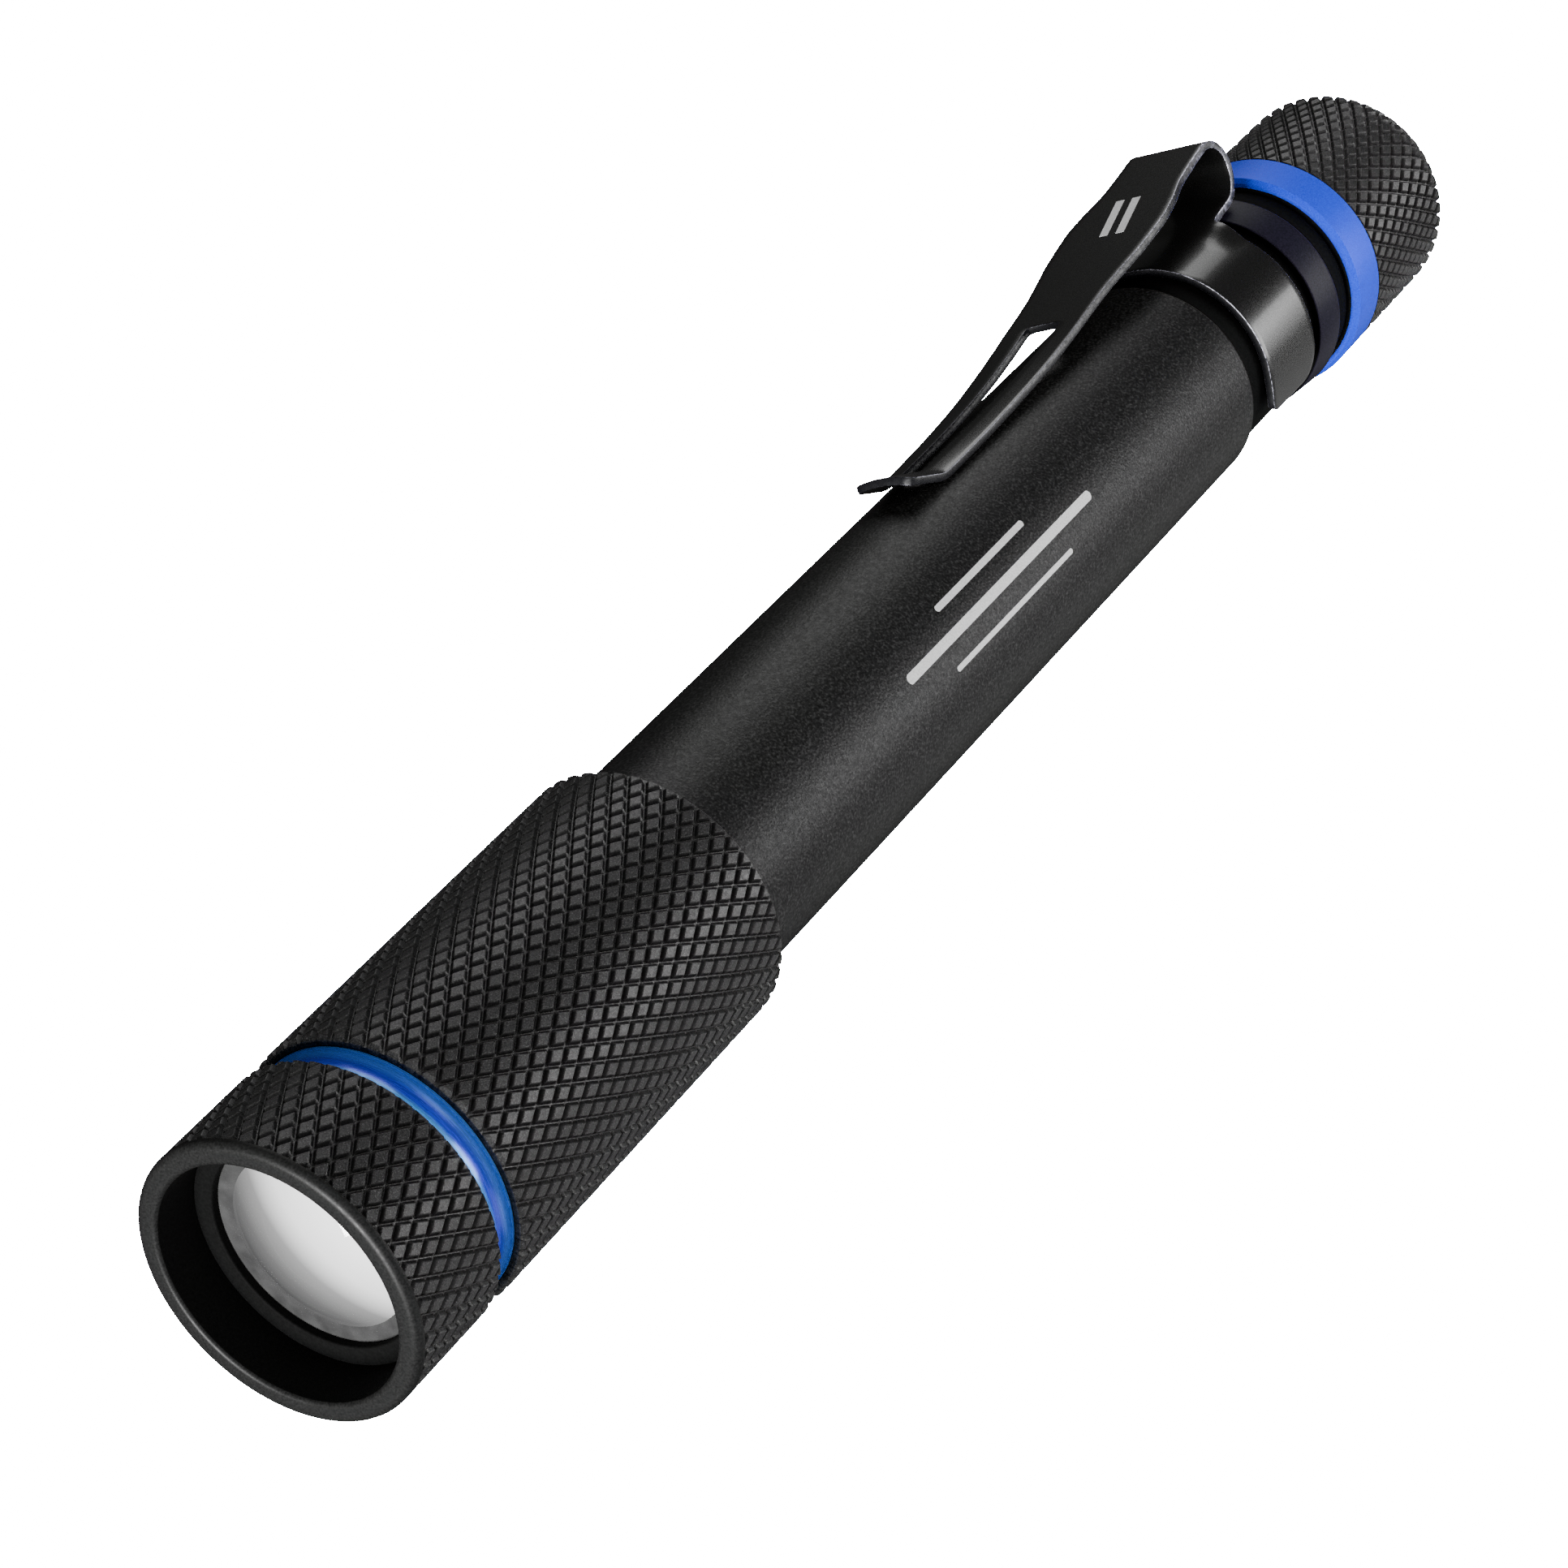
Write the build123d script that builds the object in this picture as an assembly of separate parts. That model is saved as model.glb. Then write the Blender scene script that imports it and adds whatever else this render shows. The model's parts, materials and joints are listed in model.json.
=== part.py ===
from build123d import *
import os

# Slide-focus pen torch for two AAA cells.  Millimetres, +Z up.
# The pen axis is X.  The origin is the centre of the front face of the bezel,
# +X is the way the beam leaves, and the pocket clip stands towards -Y.
# A "station" is a distance behind the front face, so X = -station.

# ---- outside sizes ----
TUBE_R = 7.0
HEAD_R = 8.3
CAP_R = 7.55
HEAD_REAR = 35.0
RING_FRONT, RING_REAR = 7.4, 9.3
CLIP_GROOVE_FRONT, CLIP_GROOVE_REAR = 97.3, 107.5
COLLAR_REAR = 110.3
CAP_FRONT = 112.3
CAP_RING_REAR = 115.6
CAP_REAR = 128.4

# ---- head and optics ----
RECESS_R, RECESS_DEPTH = 7.05, 3.2
LENS_LIP_R, LENS_SEAT_R = 6.0, 6.35
LENS_FRONT, LENS_REAR = 3.8, 5.4
BEZEL_NECK_R, BEZEL_NECK_REAR = 6.95, 13.0
SLEEVE_BORE_R = 7.42
SLEEVE_LIP_FRONT, SLEEVE_LIP_R = 33.0, 7.05

# ---- body ----
TUBE_FRONT = 13.6
CELL_BORE_R = 5.55
PILL_R, PILL_REAR = 6.0, 22.0
NECK_R, NECK_REAR = 6.35, 118.5
GROOVE_FLOOR_R = 6.5
O_RING_STATIONS = (16.0, 19.5)
STOP_RING_FRONT, STOP_RING_REAR = 24.2, 25.2

# ---- cells ----
CELL_R, CELL_CAN, CELL_NUB = 5.25, 43.5, 1.0
FRONT_CELL, REAR_CELL = 22.4, 66.9

# ---- tail switch ----
THREAD_R, THREAD_REAR = 6.40, 119.6
SWITCH_BORE_R, SWITCH_BORE_REAR = 5.9, 125.8
BUTTON_R, BUTTON_REAR = 3.5, 129.6

# ---- clip ----
SHEET = 0.5
BAND_IN_R, BAND_OUT_R = 6.55, 7.1
BAND_FRONT, BAND_REAR = 99.6, 106.15
BAND_HALF_ANGLE = 125
NECK_ROOT, NECK_HALF_WIDTH = (105.6, 7.0), 2.88
FOLD_START = (108.64, 7.365)
FOLD_R, FOLD_SWEEP = 1.95, 181.5
LEAF_LENGTH = 18.8
BOW_R, BOW_SWEEP = 105.4, -8.5
SEAT_LENGTH = 2.9
HEEL_R, HEEL_SWEEP = 2.5, -21.5
TIP_LENGTH = 4.0
ARM_PLAN = (
    (111.5, 2.88), (107.0, 2.88), (105.0, 2.96), (104.0, 3.05), (103.0, 3.28), (102.0, 3.52),
    (100.0, 3.78), (98.0, 3.72), (96.0, 3.57), (94.0, 3.26), (92.0, 3.0), (90.0, 2.91),
    (88.0, 2.87), (84.0, 2.7), (80.0, 2.5), (76.0, 2.41), (72.0, 2.35), (70.0, 2.25),
    (68.1, 2.1), (67.75, 1.98), (67.6, 1.7),
)
WINDOW = ((88.7, 1.3), (84.0, 1.07), (80.0, 0.93), (76.0, 0.84), (70.4, 0.72))


def turned(corners):
    """Solid turned about the pen axis from (station, radius) corners."""
    outline = Polyline(*[(-s, r) for s, r in corners], close=True)
    return revolve(make_face(outline), Axis.X, 360)


def disc(front, rear, radius, hole=0.0):
    """Plain disc or ring between two stations."""
    return turned([(front, hole), (front, radius), (rear, radius), (rear, hole)])


def rims(part, station, radius):
    """Circular edges of a turned part at one station and radius."""
    found = part.edges().filter_by(GeomType.CIRCLE)
    found = [e for e in found if abs(e.radius - radius) < 0.01]
    return [e for e in found if abs(e.arc_center.X + station) < 0.01]


def coil(front, rear, radius, pitch, wire):
    """Round-wire compression spring between two stations."""
    height = rear - front - 2 * wire
    path = Helix(pitch=pitch, height=height, radius=radius)
    section = Plane(origin=path @ 0, z_dir=path % 0) * Circle(wire)
    return Pos(-front - wire, 0, 0) * Rot(0, -90, 0) * sweep(section, path=path)


def o_ring(front, rear, inner, outer):
    """Ring of rubber with eased edges."""
    part = disc(front, rear, outer, inner)
    edges = rims(part, front, outer) + rims(part, rear, outer)
    return fillet(edges, 0.35)


# ------------------------------------------------------------------ head
def bezel():
    """Front ring: beam recess, lens lip, and the neck the sleeve screws on."""
    part = turned([
        (0, RECESS_R), (0, HEAD_R), (RING_FRONT, HEAD_R),
        (RING_FRONT, BEZEL_NECK_R), (BEZEL_NECK_REAR, BEZEL_NECK_R),
        (BEZEL_NECK_REAR, LENS_SEAT_R), (LENS_FRONT, LENS_SEAT_R),
        (LENS_FRONT, LENS_LIP_R), (RECESS_DEPTH + 0.25, LENS_LIP_R),
        (RECESS_DEPTH, LENS_LIP_R + 0.25), (RECESS_DEPTH, RECESS_R),
    ])
    part = fillet(rims(part, 0, HEAD_R), 0.45)
    part = fillet(rims(part, 0, RECESS_R), 0.25)
    return chamfer(rims(part, RING_FRONT, HEAD_R), 0.2)


def lens():
    """Plano-convex lens: flat rim with a dome standing forward."""
    rim_r, dome_r, apex = LENS_SEAT_R - 0.03, 5.3, LENS_FRONT - 1.6
    flats = Polyline(
        (-LENS_FRONT, dome_r), (-LENS_FRONT, rim_r), (-LENS_REAR, rim_r),
        (-LENS_REAR, 0), (-apex, 0),
    )
    dome = ThreePointArc((-apex, 0), (-apex - 0.4, 2.694), (-LENS_FRONT, dome_r))
    return revolve(make_face([flats, dome]), Axis.X, 360)


def lens_gasket():
    """Rubber ring between the lens and its retainer."""
    return o_ring(LENS_REAR, 6.2, 5.35, LENS_SEAT_R - 0.03)


def lens_retainer():
    """Screwed ring holding the lens, with two spanner slots."""
    ring = disc(6.2, 8.0, LENS_SEAT_R, 5.2)
    slots = Pos(-7.7, 0, 0) * Box(0.8, 14, 1.0)
    return ring - slots


def head_ring():
    """Blue dress ring with a hollowed outer face, trapped behind the bezel."""
    width = RING_REAR - RING_FRONT
    ring = disc(RING_FRONT, RING_REAR, 7.75, BEZEL_NECK_R)
    middle = -(RING_FRONT + width / 2)
    cutter = revolve(make_face(Pos(middle, 8.35, 0) * Ellipse(0.8, 1.0).wire()), Axis.X, 360)
    return ring - cutter


def head_sleeve():
    """Long grip sleeve that slides along the body tube."""
    part = turned([
        (RING_REAR, BEZEL_NECK_R), (RING_REAR, HEAD_R), (HEAD_REAR, HEAD_R),
        (HEAD_REAR, SLEEVE_LIP_R), (SLEEVE_LIP_FRONT, SLEEVE_LIP_R),
        (SLEEVE_LIP_FRONT, SLEEVE_BORE_R), (13.4, SLEEVE_BORE_R),
        (13.4, BEZEL_NECK_R),
    ])
    part = chamfer(rims(part, RING_REAR, HEAD_R), 0.2)
    return chamfer(rims(part, HEAD_REAR, HEAD_R), 0.4)


# ------------------------------------------------------------------ body
def body_tube():
    """Barrel for the cells, with the clip groove, the collar and the tail neck."""
    corners = [(TUBE_FRONT, PILL_R), (TUBE_FRONT, TUBE_R)]
    for start in O_RING_STATIONS:
        corners += [(start, TUBE_R), (start, GROOVE_FLOOR_R)]
        corners += [(start + 1.6, GROOVE_FLOOR_R), (start + 1.6, TUBE_R)]
    corners += [
        (STOP_RING_FRONT, TUBE_R), (STOP_RING_FRONT, GROOVE_FLOOR_R),
        (STOP_RING_REAR, GROOVE_FLOOR_R), (STOP_RING_REAR, TUBE_R),
        (CLIP_GROOVE_FRONT, TUBE_R), (CLIP_GROOVE_FRONT, GROOVE_FLOOR_R),
        (CLIP_GROOVE_REAR, GROOVE_FLOOR_R), (CLIP_GROOVE_REAR, 6.9),
        (COLLAR_REAR, 7.2), (COLLAR_REAR, NECK_R),
        (NECK_REAR, NECK_R), (NECK_REAR, CELL_BORE_R),
        (PILL_REAR, CELL_BORE_R), (PILL_REAR, PILL_R),
    ]
    part = turned(corners)
    part = fillet(rims(part, CLIP_GROOVE_FRONT, TUBE_R), 0.4)
    part = fillet(rims(part, COLLAR_REAR, 7.2), 0.3)
    part = fillet(rims(part, CLIP_GROOVE_REAR, 6.9), 0.15)
    return chamfer(rims(part, NECK_REAR, NECK_R), 0.3)


def led_pill():
    """Metal holder in the front of the tube, with a tower for the lamp board."""
    part = turned([
        (10.5, 0), (10.5, 4.2), (14.2, 4.2), (14.2, PILL_R), (PILL_REAR, PILL_R),
        (PILL_REAR, 5.4), (17.0, 5.4), (17.0, 0),
    ])
    wires = [Pos(-13, 0, side * 2.9) * Rot(0, 90, 0) * Cylinder(0.5, 9) for side in (-1, 1)]
    return chamfer(rims(part, 10.5, 4.2), 0.3) - wires[0] - wires[1]


def led_board():
    """Round metal-core board on the tower."""
    board = disc(9.9, 10.5, 3.9)
    pads = [Pos(-9.85, 0, side * 2.9) * Box(0.12, 1.2, 1.0) for side in (-1, 1)]
    return board + pads[0] + pads[1]


def led_emitter():
    """Square lamp package with its silicone dome."""
    base = Pos(-9.45, 0, 0) * Box(0.9, 3.45, 3.45)
    dome = Pos(-9.05, 0, 0) * Sphere(1.3)
    keep = Pos(-8.4, 0, 0) * Box(1.3, 4, 4)
    return base + (dome & keep)


def driver_board():
    """Round drive board in the back of the holder with its two chips."""
    board = disc(19.6, 20.6, 5.4)
    chip = Pos(-19.2, 1.6, 0) * Box(0.9, 2.0, 2.6)
    coil_body = Pos(-18.9, -1.9, 0) * Box(1.5, 2.6, 2.6)
    return board + chip + coil_body


def front_contact():
    """Sprung brass button that meets the nub of the front cell."""
    return disc(20.6, 21.1, 2.6) + disc(21.1, FRONT_CELL, 1.7)


def cell(front):
    """One AAA cell, nub to the front, with its shrunk sleeve edges eased."""
    nub = disc(front, front + CELL_NUB, 1.9)
    can = disc(front + CELL_NUB, front + CELL_NUB + CELL_CAN, CELL_R)
    edges = rims(can, front + CELL_NUB, CELL_R)
    edges += rims(can, front + CELL_NUB + CELL_CAN, CELL_R)
    return fillet(edges, 0.5) + nub


def stop_ring():
    """Snap ring that stops the head sliding off, split on the -Z side."""
    ring = disc(STOP_RING_FRONT, STOP_RING_REAR, 7.34, GROOVE_FLOOR_R)
    return ring - Pos(-24.7, 0, -7) * Box(2, 1.6, 3)


def neck_gasket():
    """Flat rubber gasket on the tail neck, in the gap ahead of the tail cap."""
    return o_ring(COLLAR_REAR, CAP_FRONT - 0.1, NECK_R, 6.8)


# ------------------------------------------------------------------ tail
def tail_cap():
    """Screw cap with a rounded end and a hole for the switch boot."""
    part = turned([
        (CAP_FRONT, THREAD_R), (CAP_FRONT, 7.0), (CAP_RING_REAR, 7.0),
        (CAP_RING_REAR, CAP_R), (CAP_REAR, CAP_R), (CAP_REAR, BUTTON_R + 0.06),
        (SWITCH_BORE_REAR, BUTTON_R + 0.06), (SWITCH_BORE_REAR, SWITCH_BORE_R),
        (THREAD_REAR, SWITCH_BORE_R), (THREAD_REAR, THREAD_R),
    ])
    return fillet(rims(part, CAP_REAR, CAP_R), 3.0)


def tail_ring():
    """Blue dress ring round the front of the tail cap."""
    part = disc(CAP_FRONT, CAP_RING_REAR, CAP_R, 7.0)
    return chamfer(rims(part, CAP_FRONT, CAP_R), 0.25)


def switch_retainer():
    """Brass ring screwed in behind the switch."""
    return disc(118.7, THREAD_REAR, THREAD_R, 4.0)


def tail_contact():
    """Plate that carries the tail spring."""
    return disc(118.7, THREAD_REAR, 3.95)


def tail_spring():
    """Coil spring pressing the cells forward."""
    return coil(FRONT_CELL + 2 * (CELL_NUB + CELL_CAN), 118.65, 3.2, 1.5, 0.3)


def switch_housing():
    """Plastic body of the click switch."""
    shell = disc(THREAD_REAR, 122.8, SWITCH_BORE_R)
    well = disc(120.6, 123.0, 1.9)
    return shell - well


def switch_plunger():
    """Moving stem of the switch."""
    return disc(122.0, 124.9, 1.8)


def switch_spring():
    """Small return spring under the stem."""
    return coil(120.62, 121.98, 1.2, 0.6, 0.14)


def button_boot():
    """Rubber boot over the stem, domed where the thumb presses."""
    part = disc(124.9, 125.7, 5.4) + disc(125.7, BUTTON_REAR, BUTTON_R)
    return fillet(rims(part, BUTTON_REAR, BUTTON_R), 1.0)


# ------------------------------------------------------------------ clip
def sheet_strip(corners, half_width):
    """Sheet strip from centreline pieces given in (station, height)."""
    return extrude(trace(corners, line_width=SHEET), half_width, both=True)


def side_point(station, height):
    """Point in the clip's side view from a station and a height above the pen axis."""
    return Vector(-station, -height)


def clip_band():
    """Open steel band round the tube with the short neck of the clip."""
    ring = disc(BAND_FRONT, BAND_REAR, BAND_OUT_R, BAND_IN_R)
    gap = 180 - BAND_HALF_ANGLE
    far = 12
    mouth = Polyline((0, 0), *[
        (far * cos_deg(90 + turn), far * sin_deg(90 + turn)) for turn in (gap, 0, -gap)
    ], close=True)
    wedge = extrude(Plane.YZ * Rot(0, 0, -90) * make_face(mouth), 200, both=True)
    band = ring - wedge
    corners = band.edges().filter_by(lambda e: abs(e.length - (BAND_OUT_R - BAND_IN_R)) < 0.01)
    band = fillet(corners, 2.0)
    root, start = side_point(*NECK_ROOT), side_point(*FOLD_START)
    hairline = (start - root).normalized() * 0.06
    neck = sheet_strip(Line(root, start - hairline), NECK_HALF_WIDTH)
    step = Pos(-105.85, -6.72, 0) * Box(0.6, 0.7, 2 * NECK_HALF_WIDTH)
    return band + neck + (step - disc(105, 107, BAND_IN_R + 0.02))


def clip_arm():
    """Fold, long slotted arm and flared tip of the clip."""
    start = side_point(*FOLD_START)
    slope = start - side_point(*NECK_ROOT)
    fold = JernArc(start=start, tangent=slope, radius=FOLD_R, arc_size=FOLD_SWEEP)
    leaf = Line(fold @ 1, (fold @ 1) + (fold % 1) * LEAF_LENGTH)
    bow = JernArc(start=leaf @ 1, tangent=fold % 1, radius=BOW_R, arc_size=BOW_SWEEP)
    seat = Line(bow @ 1, (bow @ 1) + (bow % 1) * SEAT_LENGTH)
    heel = JernArc(start=seat @ 1, tangent=bow % 1, radius=HEEL_R, arc_size=HEEL_SWEEP)
    tip = Line(heel @ 1, (heel @ 1) + (heel % 1) * TIP_LENGTH)
    strip = sheet_strip(Wire([fold, leaf, bow, seat, heel, tip]), 5.0)
    sides = [(-s, w) for s, w in ARM_PLAN] + [(-s, -w) for s, w in reversed(ARM_PLAN)]
    plan = Plane.XZ * make_face(Polyline(*sides, close=True))
    window = [(-s, w) for s, w in WINDOW] + [(-s, -w) for s, w in reversed(WINDOW)]
    slot = Plane.XZ * make_face(Polyline(*window, close=True))
    return (strip & extrude(plan, 20, both=True)) - extrude(slot, 20, both=True)


def cos_deg(angle):
    """Cosine of an angle in degrees."""
    return Vector(1, 0, 0).rotate(Axis.Z, angle).X


def sin_deg(angle):
    """Sine of an angle in degrees."""
    return Vector(1, 0, 0).rotate(Axis.Z, angle).Y


PARTS = {
    "bezel": bezel(),
    "lens": lens(),
    "lens_gasket": lens_gasket(),
    "lens_retainer": lens_retainer(),
    "head_ring": head_ring(),
    "head_sleeve": head_sleeve(),
    "body_tube": body_tube(),
    "head_o_ring_front": o_ring(O_RING_STATIONS[0], O_RING_STATIONS[0] + 1.6, GROOVE_FLOOR_R, 7.4),
    "head_o_ring_rear": o_ring(O_RING_STATIONS[1], O_RING_STATIONS[1] + 1.6, GROOVE_FLOOR_R, 7.4),
    "stop_ring": stop_ring(),
    "led_pill": led_pill(),
    "led_board": led_board(),
    "led_emitter": led_emitter(),
    "driver_board": driver_board(),
    "front_contact": front_contact(),
    "battery_front": cell(FRONT_CELL),
    "battery_rear": cell(REAR_CELL),
    "neck_gasket": neck_gasket(),
    "tail_ring": tail_ring(),
    "tail_cap": tail_cap(),
    "switch_retainer": switch_retainer(),
    "tail_contact": tail_contact(),
    "tail_spring": tail_spring(),
    "switch_housing": switch_housing(),
    "switch_plunger": switch_plunger(),
    "switch_spring": switch_spring(),
    "button_boot": button_boot(),
    "clip_band": clip_band(),
    "clip_arm": clip_arm(),
}

os.makedirs("parts", exist_ok=True)
for name, solid in PARTS.items():
    export_step(solid, f"parts/{name}.step")
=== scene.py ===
import json
import math

import bmesh
import bpy
from mathutils import Matrix, Vector
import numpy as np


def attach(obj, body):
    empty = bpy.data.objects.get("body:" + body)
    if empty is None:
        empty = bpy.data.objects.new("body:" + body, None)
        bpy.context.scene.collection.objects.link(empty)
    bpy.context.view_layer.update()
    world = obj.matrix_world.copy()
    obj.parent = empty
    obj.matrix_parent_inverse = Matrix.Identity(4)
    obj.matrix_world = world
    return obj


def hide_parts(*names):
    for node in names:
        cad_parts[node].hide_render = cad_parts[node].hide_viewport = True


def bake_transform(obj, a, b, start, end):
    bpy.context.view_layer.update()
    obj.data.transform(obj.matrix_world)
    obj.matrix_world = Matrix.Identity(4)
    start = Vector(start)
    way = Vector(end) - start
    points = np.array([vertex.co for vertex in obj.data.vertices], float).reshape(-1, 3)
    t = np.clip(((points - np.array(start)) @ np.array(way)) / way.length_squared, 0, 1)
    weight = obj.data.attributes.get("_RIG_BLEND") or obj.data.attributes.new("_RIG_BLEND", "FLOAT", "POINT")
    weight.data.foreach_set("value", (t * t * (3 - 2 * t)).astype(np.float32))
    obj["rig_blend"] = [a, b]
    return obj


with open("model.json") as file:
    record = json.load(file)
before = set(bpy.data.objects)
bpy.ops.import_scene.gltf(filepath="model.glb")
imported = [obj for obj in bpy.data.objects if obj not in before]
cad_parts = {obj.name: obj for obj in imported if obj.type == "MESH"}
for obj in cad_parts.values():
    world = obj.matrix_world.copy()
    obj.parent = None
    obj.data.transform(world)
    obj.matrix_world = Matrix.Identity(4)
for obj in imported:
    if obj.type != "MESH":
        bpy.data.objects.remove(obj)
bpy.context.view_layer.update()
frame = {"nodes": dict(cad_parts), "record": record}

# Looks for the slide-focus pen torch.  Sizes here are millimetres and are turned into metres
# when a mesh is made.  A "station" is a distance behind the front face of the bezel.  An angle
# round the pen is measured from the pocket clip (-Y) towards the top (+Z).
MM = 0.001

# main sizes, with the names that part.py gives them
HEAD_R, CAP_R, TUBE_R = 8.3, 7.55, 7.0
RING_FRONT, RING_REAR, HEAD_REAR = 7.4, 9.3, 35.0
CLIP_GROOVE_FRONT, CLIP_GROOVE_REAR, COLLAR_REAR = 97.3, 107.5, 110.3
CAP_FRONT, CAP_RING_REAR, CAP_REAR = 112.3, 115.6, 128.4
RECESS_R, RECESS_DEPTH = 7.05, 3.2
LENS_LIP_R, LENS_SEAT_R, LENS_FRONT, LENS_REAR = 6.0, 6.35, 3.8, 5.4
BEZEL_NECK_R, BEZEL_NECK_REAR = 6.95, 13.0
SLEEVE_BORE_R, SLEEVE_LIP_R, SLEEVE_LIP_FRONT = 7.42, 7.05, 33.0
TUBE_FRONT, PILL_R, PILL_REAR, CELL_BORE_R = 13.6, 6.0, 22.0, 5.55
O_RING_STATIONS, O_RING_WIDTH = (16.0, 19.5), 1.6
STOP_RING_FRONT, STOP_RING_REAR = 24.2, 25.2
GROOVE_FLOOR_R, NECK_R, NECK_REAR = 6.5, 6.35, 118.5
THREAD_R, THREAD_REAR, SWITCH_BORE_R, SWITCH_BORE_REAR = 6.4, 119.6, 5.9, 125.8
BUTTON_R, BUTTON_REAR = 3.5, 129.6
# knurls: diamonds round the pen, depth and slant of the grooves, depth of the plain core
HEAD_DIAMONDS, CAP_DIAMONDS = 48, 44
GROOVE_DEPTH, CORE_DEPTH = 0.24, 0.27
HELIX = math.tan(math.radians(30))
HEAD_CORE_R, CAP_CORE_R = HEAD_R - CORE_DEPTH, CAP_R - CORE_DEPTH


# ------------------------------------------------------------------ materials
# sockets of a Mix node that is set to colours: factor, first colour, second colour, result
MIX_INPUTS, MIX_OUTPUT = (0, 6, 7), 2


class Finish:
    """A node material with one main shader and short calls for the usual nodes."""

    def __init__(self, name, colour, roughness, **sockets):
        self.material = bpy.data.materials.new(name)
        self.material.use_nodes = True
        self.tree = self.material.node_tree
        self.shader = self.tree.nodes["Principled BSDF"]
        self.shader.inputs["Base Color"].default_value = (*colour, 1)
        self.shader.inputs["Roughness"].default_value = roughness
        for socket, value in sockets.items():
            self.shader.inputs[socket.replace("_", " ")].default_value = value
        self.place = self.tree.nodes.new("ShaderNodeTexCoord").outputs["Object"]

    def link(self, source, target):
        self.tree.links.new(source, target)

    def noise(self, scale, detail=3.0, stretch=None):
        """Noise with about `scale` features to the metre, stretched along X if asked."""
        place = self.place
        if stretch:
            mapping = self.tree.nodes.new("ShaderNodeMapping")
            mapping.inputs["Scale"].default_value = stretch
            self.link(place, mapping.inputs["Vector"])
            place = mapping.outputs["Vector"]
        node = self.tree.nodes.new("ShaderNodeTexNoise")
        node.inputs["Scale"].default_value = scale
        node.inputs["Detail"].default_value = detail
        self.link(place, node.inputs["Vector"])
        return node.outputs["Fac"]

    def cells(self, scale):
        """Distance to the nearest of scattered points."""
        node = self.tree.nodes.new("ShaderNodeTexVoronoi")
        node.inputs["Scale"].default_value = scale
        self.link(self.place, node.inputs["Vector"])
        return node.outputs["Distance"]

    def attribute(self, name):
        node = self.tree.nodes.new("ShaderNodeAttribute")
        node.attribute_name = name
        return node.outputs["Fac"]

    def along(self, direction, start, end):
        """Share of the way from start to end, in millimetres, along a direction of the pen."""
        dot = self.tree.nodes.new("ShaderNodeVectorMath")
        dot.operation = "DOT_PRODUCT"
        dot.inputs[1].default_value = direction
        self.link(self.place, dot.inputs[0])
        spread = self.tree.nodes.new("ShaderNodeMapRange")
        spread.inputs["From Min"].default_value = start * MM
        spread.inputs["From Max"].default_value = end * MM
        self.link(dot.outputs["Value"], spread.inputs["Value"])
        return spread.outputs["Result"]

    def ramp(self, source, *stops):
        """Colour ramp from (position, grey or colour) stops."""
        node = self.tree.nodes.new("ShaderNodeValToRGB")
        ramp = node.color_ramp
        while len(ramp.elements) < len(stops):
            ramp.elements.new(0.5)
        for element, (position, colour) in zip(ramp.elements, stops):
            element.position = position
            grey = isinstance(colour, (int, float))
            element.color = (colour, colour, colour, 1) if grey else (*colour, 1)
        self.link(source, node.inputs["Fac"])
        return node.outputs["Color"]

    def mix(self, factor, first, second, blend="MIX"):
        """Mix of two colours, each plain or from another node."""
        node = self.tree.nodes.new("ShaderNodeMix")
        node.data_type = "RGBA"
        node.blend_type = blend
        for index, value in zip(MIX_INPUTS, (factor, first, second)):
            if isinstance(value, (int, float)):
                node.inputs[index].default_value = value
            elif isinstance(value, tuple):
                node.inputs[index].default_value = (*value, 1)
            else:
                self.link(value, node.inputs[index])
        return node.outputs[MIX_OUTPUT]

    def bump(self, height, depth_mm, strength=1.0):
        """Adds relief; a second call stacks on the first."""
        node = self.tree.nodes.new("ShaderNodeBump")
        node.inputs["Distance"].default_value = depth_mm * MM
        node.inputs["Strength"].default_value = strength
        self.link(height, node.inputs["Height"])
        normal = self.shader.inputs["Normal"]
        if normal.is_linked:
            self.link(normal.links[0].from_socket, node.inputs["Normal"])
        self.link(node.outputs["Normal"], normal)

    def colour(self, source):
        self.link(source, self.shader.inputs["Base Color"])

    def roughness(self, source, low, high):
        self.link(self.ramp(source, (0.3, low), (0.7, high)), self.shader.inputs["Roughness"])


def knurled_black():
    """Satin black anodised aluminium, rubbed a little on the pads, with painted shade darkening the grooves.
    """
    f = Finish("black_knurl", (0.012, 0.012, 0.013), 0.42, Specular_IOR_Level=0.42)
    grain = f.noise(14000, 4)
    pads = f.ramp(grain, (0.35, 0.004), (0.58, 0.022), (0.72, 0.075))
    depth = f.attribute("knurl_depth")
    # painted shade: colour cut to about a tenth on the groove walls, then lifted again to a thin lighter
    # line along each groove floor
    shade = f.ramp(depth, (0.0, 1.0), (0.14, 1.0), (0.3, 0.12), (0.88, 0.10), (0.97, 0.7))
    f.colour(f.mix(1.0, pads, shade, "MULTIPLY"))
    f.roughness(f.noise(9000, 3), 0.34, 0.56)
    f.bump(f.noise(16000, 3), 0.012, 0.7)
    f.bump(f.noise(2500, 2), 0.02, 0.3)
    return f


def satin_black():
    """Smooth turned black lip and shoulders."""
    f = Finish("black_turned", (0.007, 0.007, 0.007), 0.40, Specular_IOR_Level=0.16)
    grain = f.noise(9000, 4)
    f.colour(f.ramp(grain, (0.35, 0.004), (0.7, 0.012)))
    f.roughness(f.noise(4000, 3), 0.38, 0.52)
    f.bump(grain, 0.008, 0.6)
    return f


def painted_shade_black():
    """Near-black painted shade for the wall of the beam recess, the lens seat and the clip groove floor."""
    f = Finish("black_painted_shade", (0.002, 0.002, 0.002), 0.75, Specular_IOR_Level=0.05)
    grain = f.noise(7000, 3)
    f.colour(f.ramp(grain, (0.3, 0.001), (0.75, 0.003)))
    f.bump(grain, 0.01, 0.4)
    return f


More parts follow.
